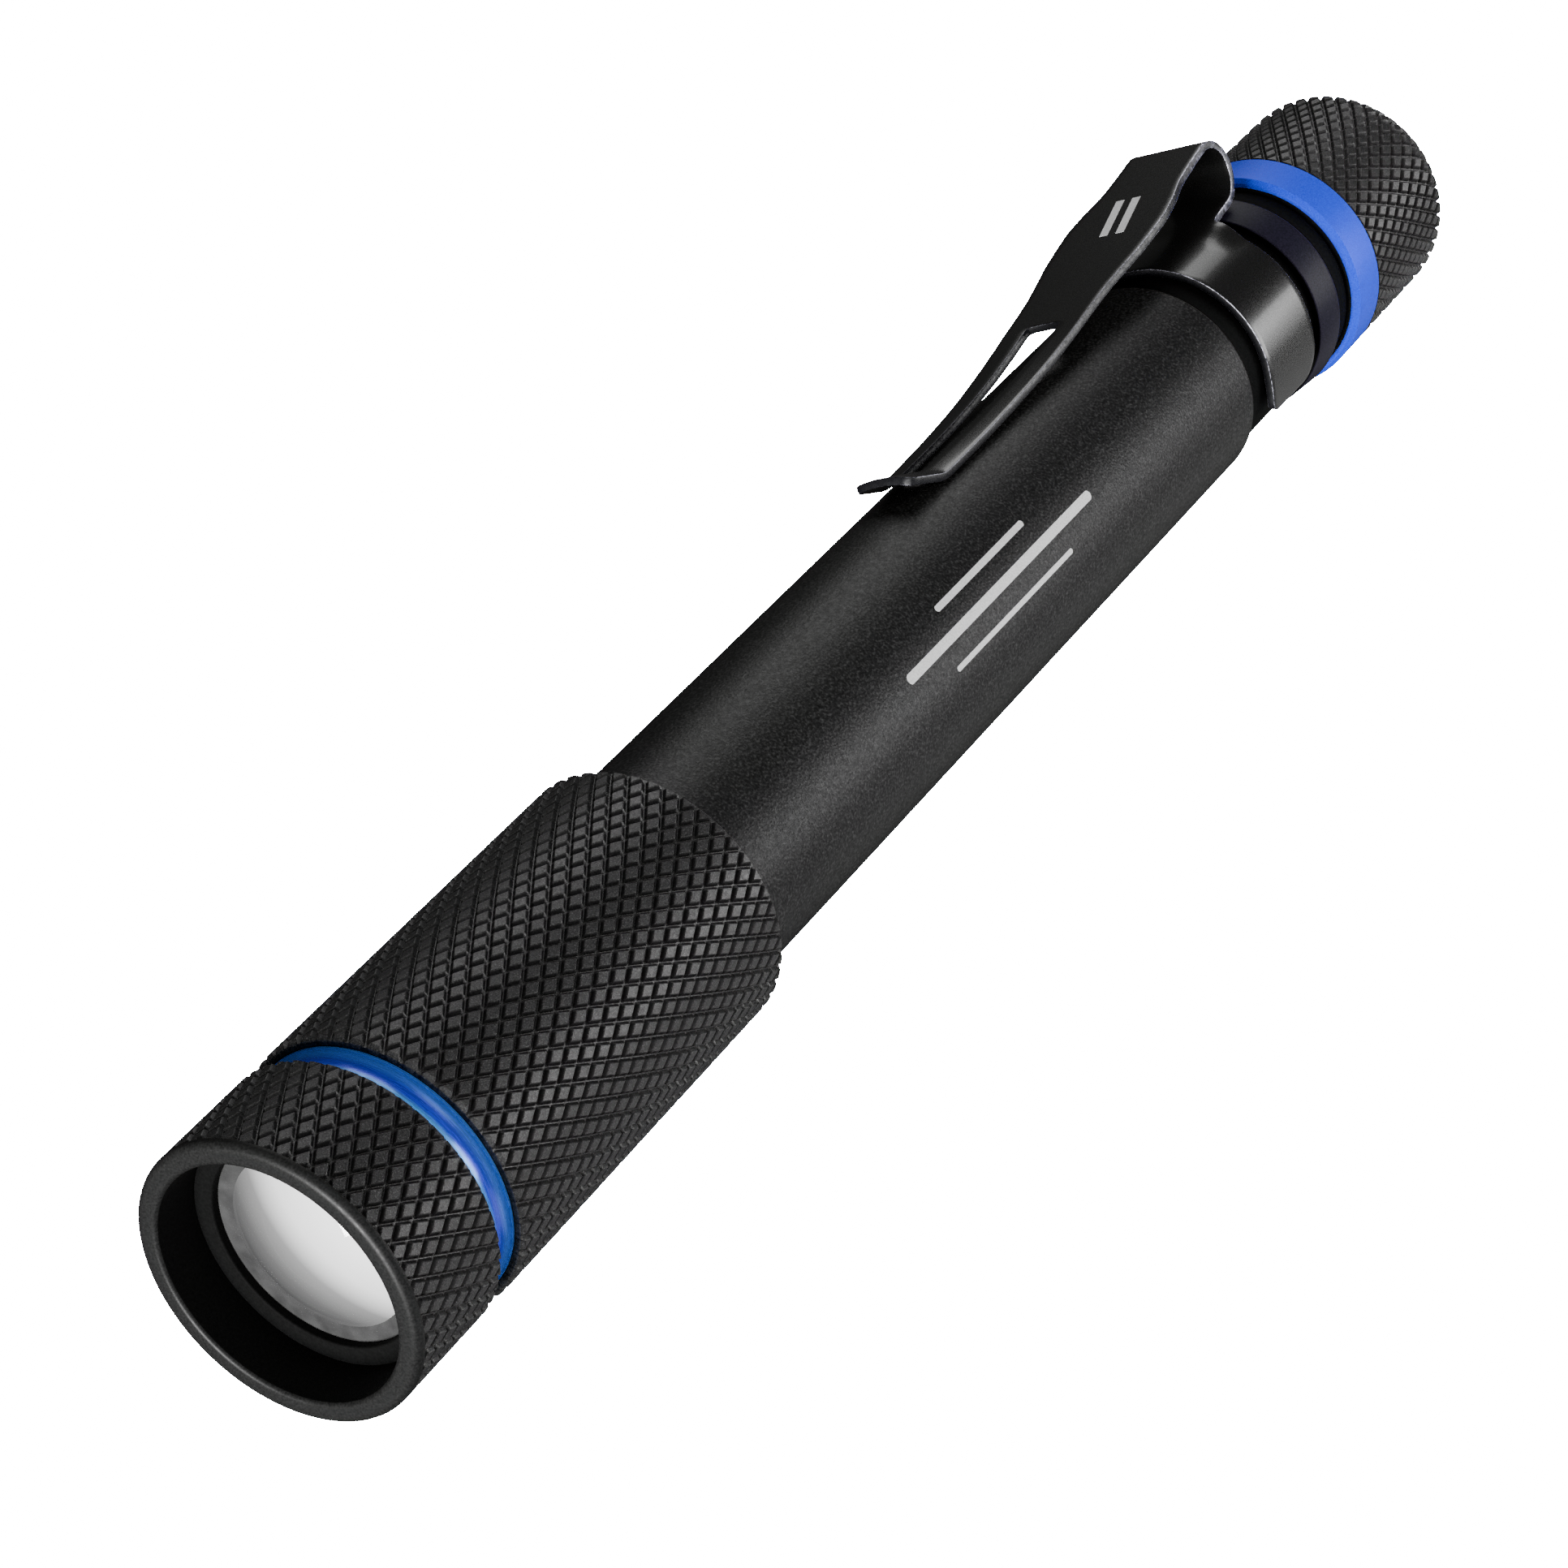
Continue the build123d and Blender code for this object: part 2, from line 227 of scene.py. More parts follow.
def blasted_black():
    """Bead-blasted black anodised tube with a grainy sheen."""
    f = Finish("black_tube", (0.010, 0.010, 0.010), 0.42, Specular_IOR_Level=0.15)
    grain = f.noise(6400, 4)
    f.colour(f.ramp(grain, (0.35, 0.003), (0.52, 0.011), (0.70, 0.042)))
    f.roughness(f.noise(3000, 3), 0.38, 0.50)
    f.bump(grain, 0.030, 1.0)
    f.bump(f.cells(6000), 0.006, 0.5)
    return f


def collar_black():
    """Satin collar with the purple cast of thin anodising."""
    f = Finish("black_collar", (0.014, 0.012, 0.018), 0.42, Specular_IOR_Level=0.06)
    grain = f.noise(9000, 4)
    f.colour(f.ramp(grain, (0.35, (0.008, 0.007, 0.014)), (0.7, (0.018, 0.015, 0.030))))
    f.bump(grain, 0.006, 0.6)
    return f


def polished_blue():
    """Bright blue anodising over a polished, finely turned ring."""
    f = Finish("blue_gloss", (0.02, 0.14, 0.95), 0.28, Metallic=0.2, Specular_IOR_Level=0.6)
    lines = f.noise(900, 3, stretch=(14, 1, 1))
    # painted light and shade across the ring: lighter towards both rims, dark navy along the floor of the
    # hollow
    across = f.along((-1, 0, 0), 7.4, 9.3)
    painted_hollow_shading = f.ramp(across, (0.0, (0.10, 0.50, 1.0)), (0.36, (0.08, 0.38, 1.0)),
                    (0.5, (0.02, 0.06, 0.85)), (0.66, (0.02, 0.06, 0.80)),
                    (0.82, (0.06, 0.24, 1.0)), (1.0, (0.06, 0.28, 1.0)))
    f.colour(f.mix(1.0, painted_hollow_shading, f.ramp(lines, (0.3, 0.88), (0.7, 1.0)), "MULTIPLY"))
    f.roughness(lines, 0.20, 0.34)
    f.bump(lines, 0.003, 0.4)
    return f


def matte_blue():
    """Royal blue anodising over blasted metal."""
    f = Finish("blue_matte", (0.02, 0.07, 0.95), 0.5, Metallic=0.15, Specular_IOR_Level=0.15)
    grain = f.noise(11000, 4)
    f.colour(f.ramp(grain, (0.3, (0.008, 0.045, 0.85)), (0.7, (0.022, 0.085, 1.0))))
    f.roughness(grain, 0.42, 0.6)
    f.bump(grain, 0.010, 0.8)
    return f


def clip_black():
    """Glossy black coating on spring steel, with the faint pull of the sheet."""
    f = Finish("clip_face", (0.008, 0.008, 0.009), 0.26, Specular_IOR_Level=0.4,
               Coat_Weight=0.15, Coat_Roughness=0.12)
    grain = f.noise(9000, 2)
    f.colour(f.ramp(grain, (0.35, 0.006), (0.7, 0.009)))
    f.roughness(f.noise(6000, 2, stretch=(1, 4, 4)), 0.26, 0.32)
    f.bump(grain, 0.0012, 0.4)
    return f


def clip_edge():
    """Cut edge of the clip, where the coating is thin."""
    f = Finish("clip_cut_edge", (0.03, 0.03, 0.04), 0.42, Specular_IOR_Level=0.25)
    wear = f.noise(2600, 5)
    near_fold = f.along((-1, 0, 0), 103, 109)
    rubbed = f.ramp(wear, (0.42, (0.012, 0.012, 0.016)), (0.56, (0.09, 0.09, 0.12)),
                    (0.70, (0.32, 0.32, 0.40)))
    f.colour(f.mix(near_fold, (0.010, 0.010, 0.012), rubbed))
    f.roughness(wear, 0.30, 0.5)
    f.bump(f.noise(7000, 2), 0.006, 0.5)
    return f


def clip_worn():
    """Thin eased edge of the clip, rubbed through to steel most of all round the fold."""
    f = Finish("clip_eased_edge", (0.3, 0.3, 0.36), 0.3, Metallic=0.8)
    wear = f.noise(4200, 5)
    near_fold = f.along((-1, 0, 0), 90, 108)
    faint = f.ramp(wear, (0.40, (0.015, 0.015, 0.018)), (0.7, (0.10, 0.10, 0.12)))
    bright = f.ramp(wear, (0.38, (0.06, 0.06, 0.08)), (0.62, (0.50, 0.50, 0.58)))
    f.colour(f.mix(near_fold, faint, bright))
    f.roughness(wear, 0.24, 0.42)
    f.bump(f.noise(7000, 2), 0.004, 0.5)
    return f


def printed_white():
    """Thin white screen print, a little uneven at its grain."""
    f = Finish("print_white", (0.8, 0.8, 0.8), 0.55)
    grain = f.noise(9000, 3)
    f.colour(f.ramp(grain, (0.3, 0.66), (0.6, 0.84)))
    f.bump(grain, 0.004, 0.5)
    return f


def moulded_lens():
    """Domed face of the clear lens, its base colour running from dark to white towards the side that faces
    the light, a painted highlight and shade.
    """
    f = Finish("clear_lens", (0.4, 0.4, 0.41), 0.04, Transmission_Weight=0.3, IOR=1.49,
               Specular_IOR_Level=1.0)
    # painted highlight and shade: base colour dark on one side of the dome, white towards its upper side
    across = f.along((0, -0.41, 0.91), -5.2, 5.2)
    f.colour(f.ramp(across, (0.0, 0.05), (0.3, 0.10), (0.48, 0.20), (0.64, 0.75), (0.8, 1.0)))
    f.roughness(f.noise(1500, 2), 0.03, 0.07)
    f.bump(f.noise(260, 2), 0.001, 0.2)
    return f


def lens_flange():
    """Flat clear rim of the lens, its dark grey base colour a painted shade for the inside of the head
    behind it.
    """
    f = Finish("clear_flange", (0.09, 0.09, 0.095), 0.08, Transmission_Weight=0.6, IOR=1.49,
               Specular_IOR_Level=0.7)
    haze = f.noise(900, 3)
    f.colour(f.ramp(haze, (0.3, 0.06), (0.7, 0.11)))
    f.roughness(haze, 0.06, 0.14)
    f.bump(haze, 0.001, 0.3)
    return f


def rubber():
    """Plain black rubber of the button and the seals."""
    f = Finish("black_rubber", (0.012, 0.012, 0.012), 0.68, Specular_IOR_Level=0.3)
    grain = f.noise(5000, 3)
    f.colour(f.ramp(grain, (0.3, 0.007), (0.7, 0.018)))
    f.bump(grain, 0.012, 0.6)
    return f


def shaded_rubber():
    """Rubber darker than the plain rubber, a painted shade for the deep gap it lies in."""
    f = Finish("black_washer", (0.003, 0.003, 0.003), 0.8, Specular_IOR_Level=0.05)
    grain = f.noise(5000, 3)
    f.colour(f.ramp(grain, (0.3, 0.0015), (0.7, 0.004)))
    f.bump(grain, 0.012, 0.6)
    return f


def metal(name, dark, light, low, high):
    """Turned or drawn metal with fine tool lines."""
    f = Finish(name, light, low, Metallic=1.0)
    lines = f.noise(900, 4, stretch=(12, 1, 1))
    f.colour(f.ramp(lines, (0.3, dark), (0.7, light)))
    f.roughness(lines, low, high)
    f.bump(lines, 0.004, 0.5)
    return f


def moulded(name, dark, light, roughness):
    """Moulded plastic, solder mask or silicone with a fine texture."""
    f = Finish(name, light, roughness)
    grain = f.noise(4000, 3)
    f.colour(f.ramp(grain, (0.3, dark), (0.7, light)))
    f.roughness(f.noise(1500, 2), roughness, roughness + 0.12)
    f.bump(grain, 0.008, 0.5)
    return f


KNURLED, TURNED, PAINTED_SHADE = knurled_black(), satin_black(), painted_shade_black()
TUBE, COLLAR = blasted_black(), collar_black()
RUBBER, WASHER = rubber(), shaded_rubber()
CLIP, CLIP_EDGE, CLIP_WORN = clip_black(), clip_edge(), clip_worn()
GLOSS_BLUE, MATTE_BLUE = polished_blue(), matte_blue()
WHITE, LENS, FLANGE = printed_white(), moulded_lens(), lens_flange()

INNER_FINISHES = {
    "holder_metal": metal("holder_metal", (0.50, 0.51, 0.53), (0.78, 0.79, 0.80), 0.26, 0.42),
    "brass": metal("plain_brass", (0.55, 0.38, 0.14), (0.82, 0.62, 0.28), 0.22, 0.40),
    "spring_wire": metal("spring_wire", (0.40, 0.40, 0.42), (0.72, 0.72, 0.74), 0.22, 0.36),
    "cell_wrap": metal("cell_wrap", (0.20, 0.21, 0.23), (0.38, 0.39, 0.42), 0.30, 0.44),
    "board_white": moulded("board_white", (0.70, 0.71, 0.71), (0.84, 0.85, 0.85), 0.35),
    "board_green": moulded("board_green", (0.02, 0.16, 0.06), (0.05, 0.30, 0.12), 0.4),
    "lamp": moulded("lamp_silicone", (0.75, 0.60, 0.12), (0.90, 0.78, 0.26), 0.2),
    "switch_plastic": moulded("switch_plastic", (0.02, 0.02, 0.02), (0.04, 0.04, 0.04), 0.45),
    "black_rubber": RUBBER,
}
for part in frame["record"]["subparts"]:
    finish = INNER_FINISHES.get(part["material_slot"])
    if finish:
        data = frame["nodes"][part["node"]].data
        data.materials.clear()
        data.materials.append(finish.material)


# ------------------------------------------------------------------ mesh tools
def place(station, radius, angle):
    """Point in metres from a station, a radius and an angle from the clip, in radians."""
    y, z = -radius * math.cos(angle), radius * math.sin(angle)
    return Vector((-station, y, z)) * MM


def finish_piece(name, bm, body, finishes, replaces=(), sharp=35):
    """Turns a bmesh into a shown piece that rides on a CAD body."""
    bmesh.ops.recalc_face_normals(bm, faces=bm.faces)
    mesh = bpy.data.meshes.new(name)
    bm.to_mesh(mesh)
    bm.free()
    mesh.shade_smooth()
    mesh.set_sharp_from_angle(angle=math.radians(sharp))
    piece = bpy.data.objects.new(name, mesh)
    bpy.context.scene.collection.objects.link(piece)
    for finish in finishes:
        mesh.materials.append(finish.material)
    if body:
        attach(piece, body)
    if replaces:
        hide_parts(*replaces)
    return piece


def rounded(corners, steps=5):
    """Closed outline whose (station, radius, fillet) corners are rounded."""
    outline = []
    for i, (s, r, fillet) in enumerate(corners):
        here = Vector((s, r))
        if fillet == 0:
            outline.append((s, r))
            continue
        before = Vector(corners[i - 1][:2]) - here
        after = Vector(corners[(i + 1) % len(corners)][:2]) - here
        half = before.angle(after) / 2
        reach = fillet / math.tan(half)
        inward = (before.normalized() + after.normalized()).normalized()
        centre = here + inward * fillet / math.sin(half)
        a = here + before.normalized() * reach - centre
        b = here + after.normalized() * reach - centre
        for k in range(steps + 1):
            share = k / steps
            mixed = (a * (1 - share) + b * share).normalized() * fillet
            outline.append(tuple(centre + mixed))
    return outline


def turn(bm, outline, segments=256, finish_of=None):
    """Adds a closed outline of (station, radius) turned about the pen axis."""
    rings = []
    for s, r in outline:
        if r < 1e-6:
            rings.append([bm.verts.new(place(s, 0, 0))] * segments)
        else:
            turns = [2 * math.pi * k / segments for k in range(segments)]
            rings.append([bm.verts.new(place(s, r, a)) for a in turns])
    for i, ring in enumerate(rings):
        following = rings[(i + 1) % len(rings)]
        for k in range(segments):
            n = (k + 1) % segments
            corners = [ring[k], ring[n], following[n], following[k]]
            corners = [c for j, c in enumerate(corners) if c not in corners[:j]]
            if len(corners) > 2:
                face = bm.faces.new(corners)
                if finish_of:
                    face.material_index = finish_of(outline[i], outline[(i + 1) % len(outline)])


# shares of one diamond's side, and how deep the surface lies there, from 1 at the groove to 0
GROOVE_STEPS = ((0.0, 1.0), (0.035, 0.97), (0.185, 0.08), (0.21, 0.0), (0.5, 0.0), (0.79, 0.0),
                (0.815, 0.08), (0.965, 0.97))


def diamonds(bm, radius, starts, front, rear):
    """Adds the open knurled surface, a little past both ends, and gives what was added."""
    n = len(GROOVE_STEPS)
    pitch = 2 * math.pi * radius / starts
    first = math.floor(2 * HELIX * front / pitch) - 1
    last = math.ceil(2 * HELIX * rear / pitch) + 1
    layers = bm.verts.layers.float
    depth_layer = layers.get("knurl_depth") or layers.new("knurl_depth")
    verts, fresh = {}, []

    def vert(i, j):
        """Vertex at a step of each set of grooves, shared all the way round."""
        laps = i // (n * starts)
        i, j = i - laps * n * starts, j - laps * n * starts
        if (i, j) not in verts:
            u, v = i // n + GROOVE_STEPS[i % n][0], j // n + GROOVE_STEPS[j % n][0]
            depth = max(GROOVE_STEPS[i % n][1], GROOVE_STEPS[j % n][1])
            station = pitch * (v - u) / (2 * HELIX)
            angle = pitch * (u + v) / 2 / radius
            made = bm.verts.new(place(station, radius - GROOVE_DEPTH * depth, angle))
            made[depth_layer] = depth
            verts[i, j] = made
            fresh.append(made)
        return verts[i, j]

    faces = []
    for row in range(first, last + 1):
        for column in range(starts):
            i0, j0 = column * n, (column + row) * n
            for i in range(i0, i0 + n):
                for j in range(j0, j0 + n):
                    corners = (vert(i, j), vert(i + 1, j), vert(i + 1, j + 1), vert(i, j + 1))
                    faces.append(bm.faces.new(corners))
    return fresh + faces + list({e for f in faces for e in f.edges})


def reach_of(vert):
    """Distance of a vertex from the pen axis, in millimetres."""
    return math.hypot(vert.co.y, vert.co.z) / MM


def draw_to(vert, radius):
    """Moves a vertex straight in or out to a radius."""
    scale = radius / reach_of(vert)
    vert.co.y *= scale
    vert.co.z *= scale


def knurl(bm, radius, starts, front, rear, inner, front_chamfer=0, rear_chamfer=0, bend=None):
    """Adds a closed knurled sleeve: two crossing sets of grooves round flat-topped diamonds."""
    geometry = diamonds(bm, radius, starts, front, rear)
    cuts = ((front, 1), (front + front_chamfer, 0), (rear - rear_chamfer, 0), (rear, -1))
    for station, side in cuts:
        cut = bmesh.ops.bisect_plane(
            bm, geom=geometry, plane_co=(-station * MM, 0, 0), plane_no=(-1, 0, 0), dist=1e-9,
            clear_inner=side == 1, clear_outer=side == -1,
        )
        geometry = [g for g in cut["geom"] if g.is_valid]
    shell = [g for g in geometry if isinstance(g, bmesh.types.BMVert)]
    for v in shell:
        station = -v.co.x / MM
        limit = radius
        if front_chamfer:
            limit = min(limit, radius - front_chamfer + (station - front))
        if rear_chamfer:
            limit = min(limit, radius - rear_chamfer + (rear - station))
        if reach_of(v) > limit:
            draw_to(v, limit)
    rim = [g for g in geometry if isinstance(g, bmesh.types.BMEdge) and g.is_boundary]
    walls = bmesh.ops.extrude_edge_only(bm, edges=rim)["geom"]
    for v in (g for g in walls if isinstance(g, bmesh.types.BMVert)):
        draw_to(v, inner)
        shell.append(v)
    inside = [g for g in walls if isinstance(g, bmesh.types.BMEdge) and g.is_boundary]
    bmesh.ops.bridge_loops(bm, edges=inside)
    if bend:
        wrap_over_end(shell, radius, *bend)


def wrap_over_end(shell, radius, straight_end, centre_r):
    """Lays whatever is past the straight part over the rounded end of the cap."""
    fillet = radius - centre_r
    for v in shell:
        along = -v.co.x / MM - straight_end
        if along > 0:
            angle = math.atan2(v.co.z, -v.co.y)
            r = reach_of(v) - centre_r
            v.co = place(straight_end + r * math.sin(along / fillet),
                         centre_r + r * math.cos(along / fillet), angle)


# ------------------------------------------------------------------ head
def bezel():
    """Smooth lip round the beam recess, knurled band behind it, and the screw neck."""
    bm = bmesh.new()
    lip_rear = 0.55
    outline = rounded([
        (RECESS_DEPTH, RECESS_R, 0), (0, RECESS_R, 0.25), (0, HEAD_R, 0.42),
        (lip_rear, HEAD_R, 0), (lip_rear, HEAD_CORE_R, 0), (RING_FRONT, HEAD_CORE_R, 0),
        (RING_FRONT, BEZEL_NECK_R, 0), (BEZEL_NECK_REAR, BEZEL_NECK_R, 0.2),
        (BEZEL_NECK_REAR, LENS_SEAT_R, 0), (LENS_FRONT, LENS_SEAT_R, 0),
        (LENS_FRONT, LENS_LIP_R, 0), (RECESS_DEPTH, LENS_LIP_R, 0.12),
    ])
    turn(bm, outline, finish_of=bezel_finish)
    knurl(bm, HEAD_R, HEAD_DIAMONDS, front=0.5, rear=RING_FRONT, inner=7.8, rear_chamfer=0.2)
    return finish_piece("bezel_ring", bm, "head",
                        (KNURLED, TURNED, PAINTED_SHADE), ("bezel",), 25)


def bezel_finish(a, b):
    """Painted shade on the recess wall and lens seat, satin everywhere else."""
    return 2 if max(a[1], b[1]) < RECESS_R + 0.01 and a[0] < 5 else 1


def head_sleeve():
    """Long knurled grip, sharp at its rear edge."""
    bm = bmesh.new()
    bore_front = 13.4
    turn(bm, rounded([
        (RING_REAR, BEZEL_NECK_R, 0), (RING_REAR, HEAD_CORE_R, 0), (HEAD_REAR, HEAD_CORE_R, 0),
        (HEAD_REAR, SLEEVE_LIP_R, 0.15), (SLEEVE_LIP_FRONT, SLEEVE_LIP_R, 0),
        (SLEEVE_LIP_FRONT, SLEEVE_BORE_R, 0), (bore_front, SLEEVE_BORE_R, 0),
        (bore_front, BEZEL_NECK_R, 0),
    ]), finish_of=lambda a, b: 1)
    knurl(bm, HEAD_R, HEAD_DIAMONDS, front=RING_REAR, rear=HEAD_REAR, inner=7.8,
          front_chamfer=0.2, rear_chamfer=0.25)
    return finish_piece("focus_sleeve", bm, "head",
                        (KNURLED, TURNED), ("head_sleeve",), 25)


def head_ring():
    """Polished blue ring with a hollowed face."""
    bm = bmesh.new()
    rim_r, middle, hollow_half, hollow_depth = 7.72, (RING_FRONT + RING_REAR) / 2, 0.8, 0.34
    outline = [(RING_FRONT, BEZEL_NECK_R), (RING_FRONT, rim_r)]
    for k in range(17):
        turned = math.pi * k / 16
        outline.append((middle - hollow_half * math.cos(turned),
                        rim_r - hollow_depth * math.sin(turned)))
    outline += [(RING_REAR, rim_r), (RING_REAR, BEZEL_NECK_R)]
    turn(bm, outline, 320)
    return finish_piece("head_dress_ring", bm, "head",
                        (GLOSS_BLUE,), ("head_ring",), 50)


def lens():
    """Plano-convex lens with a flat rim and a dome standing forward."""
    bm = bmesh.new()
    dome_r, apex, foot, edge_r = 5.1, 2.2, 3.72, 6.32
    rise = foot - apex
    sphere = (dome_r ** 2 + rise ** 2) / (2 * rise)
    outline = [(LENS_REAR, 0), (LENS_REAR, edge_r), (LENS_FRONT, edge_r), (foot, edge_r - 0.12),
               (foot, dome_r)]
    reach = math.asin(dome_r / sphere)
    for k in range(1, 33):
        a = reach * (1 - k / 32)
        outline.append((apex + sphere * (1 - math.cos(a)), sphere * math.sin(a)))
    outline[-1] = (apex, 0)
    turn(bm, outline, 256, finish_of=lambda a, b: 1 if max(a[1], b[1]) > dome_r + 0.01 else 0)
    return finish_piece("domed_lens", bm, "head", (LENS, FLANGE), ("lens",), 25)


# ------------------------------------------------------------------ body
def body_tube():
    """Blasted barrel with the clip groove, and the collar behind the clip."""
    bm = bmesh.new()
    collar_front_r, collar_rear_r = 6.95, 7.2
    corners = [(TUBE_FRONT, PILL_R, 0), (TUBE_FRONT, TUBE_R, 0.2)]
    grooves = [(start, start + O_RING_WIDTH) for start in O_RING_STATIONS]
    for start, end in grooves + [(STOP_RING_FRONT, STOP_RING_REAR)]:
        corners += [(start, TUBE_R, 0), (start, GROOVE_FLOOR_R, 0), (end, GROOVE_FLOOR_R, 0),
                    (end, TUBE_R, 0)]
    corners += [
        (CLIP_GROOVE_FRONT, TUBE_R, 0.35), (CLIP_GROOVE_FRONT, GROOVE_FLOOR_R, 0.15),
        (CLIP_GROOVE_REAR, GROOVE_FLOOR_R, 0), (CLIP_GROOVE_REAR, collar_front_r, 0.12),
        (COLLAR_REAR, collar_rear_r, 0.28), (COLLAR_REAR, NECK_R, 0), (NECK_REAR, NECK_R, 0.2),
        (NECK_REAR, CELL_BORE_R, 0), (PILL_REAR, CELL_BORE_R, 0), (PILL_REAR, PILL_R, 0),
    ]
    turn(bm, rounded(corners), finish_of=barrel_finish)
    finishes = (TUBE, COLLAR, PAINTED_SHADE)
    return finish_piece("barrel", bm, "body", finishes, ("body_tube",))


def barrel_finish(a, b):
    """Blasted tube, painted shade on the clip groove, then the purplish collar."""
    if min(a[0], b[0]) < CLIP_GROOVE_FRONT - 0.1 or min(a[1], b[1]) < PILL_R:
        return 0
    return 2 if max(a[0], b[0]) < CLIP_GROOVE_REAR + 0.1 and min(a[1], b[1]) < 6.9 else 1


def neck_gasket():
    """Rubber washer in the dark gap ahead of the tail cap."""
    bm = bmesh.new()
    front, rear, outer_r = COLLAR_REAR, CAP_FRONT - 0.1, 6.8
    outline = [(front, NECK_R, 0), (front, outer_r, 0.3), (rear, outer_r, 0.3), (rear, NECK_R, 0)]
    turn(bm, rounded(outline), 192)
    return finish_piece("neck_washer", bm, "body", (WASHER,), ("neck_gasket",))


# ------------------------------------------------------------------ tail
CAP_RING_BED_R, END_FILLET = 7.0, 3.0


def tail_cap():
    """Knurled cap whose diamonds run over its rounded end."""
    bm = bmesh.new()
    centre_r, straight_end, hole_r = CAP_R - END_FILLET, CAP_REAR - END_FILLET, 3.56
    outline = [(CAP_FRONT, THREAD_R), (CAP_FRONT, CAP_RING_BED_R),
               (CAP_RING_REAR, CAP_RING_BED_R), (CAP_RING_REAR, CAP_CORE_R),
               (straight_end, CAP_CORE_R)]
    knurled = [(degrees, END_FILLET - CORE_DEPTH) for degrees in (15, 30, 45, 60, 74)]
    smooth = [(degrees, END_FILLET) for degrees in (74, 78, 82, 86, 90)]
    for degrees, r in knurled + smooth:
        a = math.radians(degrees)
        outline.append((straight_end + r * math.sin(a), centre_r + r * math.cos(a)))
    outline += [
        (CAP_REAR, hole_r + 0.2), (CAP_REAR - 0.06, hole_r + 0.06), (CAP_REAR - 0.2, hole_r),
        (SWITCH_BORE_REAR, hole_r), (SWITCH_BORE_REAR, SWITCH_BORE_R),
        (THREAD_REAR, SWITCH_BORE_R), (THREAD_REAR, THREAD_R),
    ]
    turn(bm, outline, finish_of=lambda a, b: 1)
    knurl(bm, CAP_R, CAP_DIAMONDS, front=CAP_RING_REAR,
          rear=straight_end + END_FILLET * math.radians(75), inner=7.0, front_chamfer=0.15,
          bend=(straight_end, centre_r))
    return finish_piece("tail_cap_knurled", bm, "tail",
                        (KNURLED, TURNED), ("tail_cap",), 25)


def tail_ring():
    """Matte blue ring with a bright front chamfer."""
    bm = bmesh.new()
    turn(bm, rounded([
        (CAP_FRONT, CAP_RING_BED_R, 0), (CAP_FRONT, CAP_CORE_R, 0),
        (CAP_FRONT + CORE_DEPTH, CAP_R, 0.06), (CAP_RING_REAR, CAP_R, 0.08),
        (CAP_RING_REAR, CAP_RING_BED_R, 0),
    ]), 320)
    return finish_piece("tail_dress_ring", bm, "tail",
                        (MATTE_BLUE,), ("tail_ring",), 30)


def button_boot():
    """Rubber button with two shallow grip rings."""
    bm = bmesh.new()
    flange_r, flange_front, flange_rear, ring_floor = 5.4, 124.9, 125.7, BUTTON_REAR - 0.12
    corners = [
        (flange_front, 0, 0), (flange_front, flange_r, 0.1), (flange_rear, flange_r, 0.1),
        (flange_rear, BUTTON_R, 0.15), (BUTTON_REAR, BUTTON_R, 0.7),
    ]
    for outer_r in (2.5, 1.5):
        corners += [(BUTTON_REAR, outer_r, 0.05), (ring_floor, outer_r - 0.1, 0.05),
                    (ring_floor, outer_r - 0.4, 0.05), (BUTTON_REAR, outer_r - 0.5, 0.05)]
    corners.append((BUTTON_REAR, 0, 0))
    turn(bm, rounded(corners), 160)
    return finish_piece("switch_button", bm, "button", (RUBBER,), ("button_boot",))


# ------------------------------------------------------------------ clip
SHEET = 0.5
BAND_R, BAND_FRONT, BAND_REAR, BAND_END = 6.825, 99.6, 106.15, 125
BAND_CORNER_FRONT, BAND_CORNER_REAR = 0.6, 2.0
FACET_FROM, FACET_RISE = 97, 0.45
NECK_HALF, NECK_SLOPE, NECK_FLATNESS = 2.88, 0.12, 0.55
# where the band begins to rise into the neck, and how long it takes
NECK_BEGINS, NECK_EASE = 103.6, 2.6
NECK_ANGLE, NECK_SPREAD = math.degrees(math.asin(NECK_HALF / BAND_R)), 42
FOLD_START = (108.64, 7.365)
FOLD_STEPS = 32
# length or radius, sweep in degrees and steps of each run from the neck to the tip
CLIP_RUNS = (
    (1.95, 181.5, FOLD_STEPS), (18.8, 0, 28), (105.4, -8.5, 24), (2.9, 0, 4), (2.5, -21.5, 6),
    (4.0, 0, 8),
)
# (station, half width) of the arm, and of the slot down its middle
ARM_PLAN = (
    (67.6, 1.7), (67.75, 1.98), (68.1, 2.1), (70.0, 2.25), (72.0, 2.35), (76.0, 2.41),
    (80.0, 2.5), (84.0, 2.7), (88.0, 2.87), (90.0, 2.91), (92.0, 3.0), (94.0, 3.26),
    (96.0, 3.57), (98.0, 3.72), (100.0, 3.78), (102.0, 3.52), (103.0, 3.28), (104.0, 3.05),
    (105.0, 2.96), (107.0, 2.88), (111.5, 2.88),
)
SLOT = (
    (70.4, 0.5), (70.5, 0.62), (70.75, 0.72), (76.0, 0.84), (80.0, 0.93), (84.0, 1.07),
    (88.3, 1.27), (88.58, 1.17), (88.7, 0.95),
)
# places of the strip's points across its half width, from its side to its middle
STRIP_SHARES = (1.0, 0.86, 0.72, 0.44, 0.16)
# how far the arm's section follows the tube's roundness
ARM_HUG = ((71.0, 1.0), (74.0, 0.75), (78.0, 0.5), (82.0, 0.3), (88.0, 0.0))
TIP_GAP = 0.04
HUG_R = TUBE_R + TIP_GAP + SHEET / 2
# (station, height) of the sheet's middle where the fold ends, and its fall along the arm
LEAF_TOP, LEAF_SLOPE = (108.124, 11.230), 0.1468


